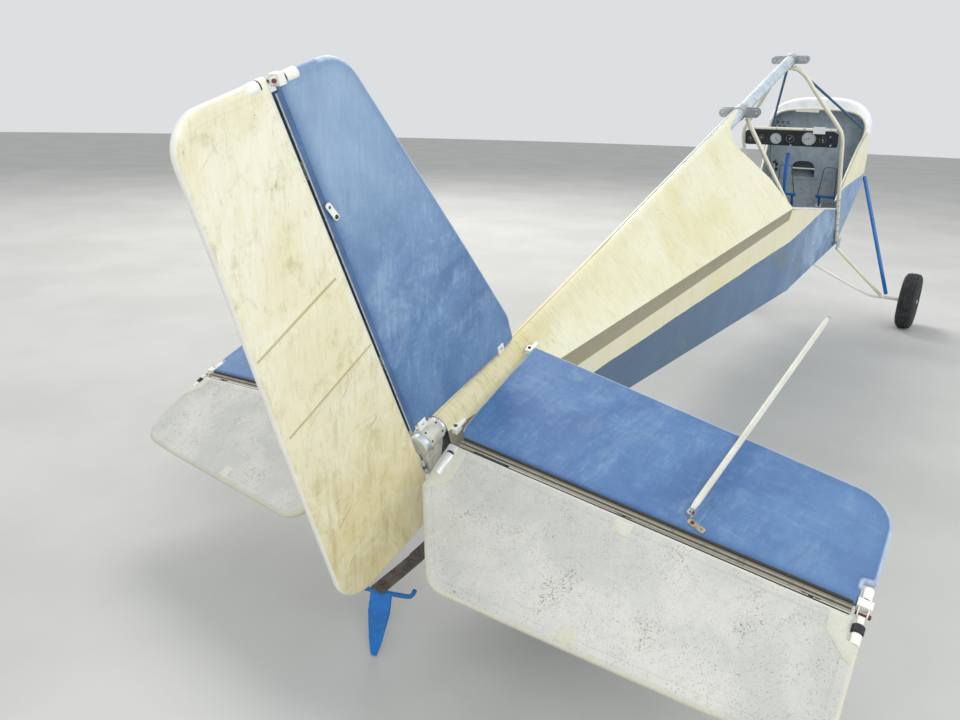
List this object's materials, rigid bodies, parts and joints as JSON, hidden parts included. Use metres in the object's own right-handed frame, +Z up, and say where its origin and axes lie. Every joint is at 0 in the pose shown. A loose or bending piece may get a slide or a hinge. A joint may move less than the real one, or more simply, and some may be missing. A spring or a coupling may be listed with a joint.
{
  "type": "ultralight aircraft",
  "caption": "Single-seat high-wing tube-and-fabric ultralight aircraft fuselage on its tail-dragger gear, stored without wings, engine, doors or windscreen.",
  "frame": {"origin": "on the ground under the middle of the bounding box, as the aircraft stands on its wheels and tail skid", "axes": "+X forward toward the nose, +Y to port (the left side seen from the seat), +Z up"},
  "size_m": [5.8356, 2.3898, 1.9218],
  "materials": {
    "boom_alloy": "dull bare tube",
    "fitting_alloy": "weathered plate",
    "cream_tube": "worn satin paint",
    "blue_tube": "satin paint",
    "cream_fabric": "doped fabric, yellowed",
    "rudder_fabric": "doped fabric, yellowed",
    "band_fabric": "doped fabric, dirty",
    "blue_fabric": "doped fabric, faded",
    "grey_fabric": "doped fabric, bleached",
    "cowl_shell": "aged moulding",
    "bulkhead_sheet": "dusty grey",
    "panel": "matt black",
    "floor_board": "dusty board",
    "seat_fabric": "woven sling",
    "rusty_steel": "rusted",
    "tyre": "dusty rubber",
    "hub_alloy": "dull"
  },
  "bodies": {
    "airframe": {"a_pillar_l": "blue_tube", "a_pillar_r": "blue_tube", "belly_skin_cabin": "blue_fabric", "belly_skin_nose": "blue_fabric", "belly_skin_rear": "blue_fabric", "cabin_floor": "floor_board", "cabin_hoop": "cream_tube", "cabin_side_l": "blue_fabric", "cabin_side_r": "blue_fabric", "control_stick": "blue_tube", "cross_tube": "cream_tube", "fin": "blue_fabric", "gear_link_l": "cream_tube", "gear_link_r": "cream_tube", "gear_strut_l": "blue_tube", "gear_strut_r": "blue_tube", "gear_tube_l": "cream_tube", "gear_tube_r": "cream_tube", "instrument_panel": "panel", "lower_skin_l": "blue_fabric", "lower_skin_r": "blue_fabric", "nose_bulkhead": "bulkhead_sheet", "nose_cap": "blue_fabric", "nose_cowl": "cowl_shell", "nose_rim_tube": "cream_tube", "nose_side_l": "blue_fabric", "nose_side_r": "blue_fabric", "rudder_pedals": "blue_tube", "seat": "seat_fabric", "seat_back_tube_l": "cream_tube", "seat_back_tube_r": "cream_tube", "seat_tube_front": "cream_tube", "seat_tube_rear": "cream_tube", "stabiliser_l": "blue_fabric", "stabiliser_r": "blue_fabric", "stern_post": "fitting_alloy", "strut_lug_l": "fitting_alloy", "strut_lug_r": "fitting_alloy", "tail_boom": "boom_alloy", "tail_brace_l": "boom_alloy", "tail_brace_r": "boom_alloy", "tail_spring": "rusty_steel", "upper_skin_l": "cream_fabric", "upper_skin_r": "cream_fabric", "waist_band_l": "band_fabric", "waist_band_r": "band_fabric", "wing_fitting_front": "fitting_alloy", "wing_fitting_rear": "fitting_alloy"},
    "rudder": {"rudder": "rudder_fabric"},
    "elevator_l": {"elevator_l": "grey_fabric"},
    "elevator_r": {"elevator_r": "grey_fabric"},
    "wheel_l": {"tyre_l": "tyre", "hub_l": "hub_alloy"},
    "wheel_r": {"tyre_r": "tyre", "hub_r": "hub_alloy"},
    "skid": {"tail_skid": "blue_tube"}
  },
  "joints": [
    {"name": "rudder_hinge", "type": "hinge", "parent": "airframe", "child": "rudder", "pos_m": [-2.40646, 0, 0.9503], "axis": [-0.4159, 0, 0.9094], "range_deg": [-25, 25]},
    {"name": "elevator_hinge_l", "type": "hinge", "parent": "airframe", "child": "elevator_l", "pos_m": [-2.13662, 0.5978, 0.54711], "axis": [0.0189, 0.9963, -0.0834], "range_deg": [-12.3, 35.7]},
    {"name": "elevator_hinge_r", "type": "hinge", "parent": "airframe", "child": "elevator_r", "pos_m": [-2.13662, -0.5978, 0.54711], "axis": [-0.0189, 0.9963, 0.0834], "range_deg": [-12.3, 35.7]},
    {"name": "wheel_spin_l", "type": "hinge", "parent": "airframe", "child": "wheel_l", "pos_m": [2.70321, 0.836, 0.21465], "axis": [0, 1, 0], "continuous": true},
    {"name": "wheel_spin_r", "type": "hinge", "parent": "airframe", "child": "wheel_r", "pos_m": [2.70321, -0.836, 0.21465], "axis": [0, 1, 0], "continuous": true},
    {"name": "skid_swivel", "type": "hinge", "parent": "airframe", "child": "skid", "pos_m": [-2.39873, 0, 0.17722], "axis": [0, 0, 1], "range_deg": [-50, 10]}
  ]
}
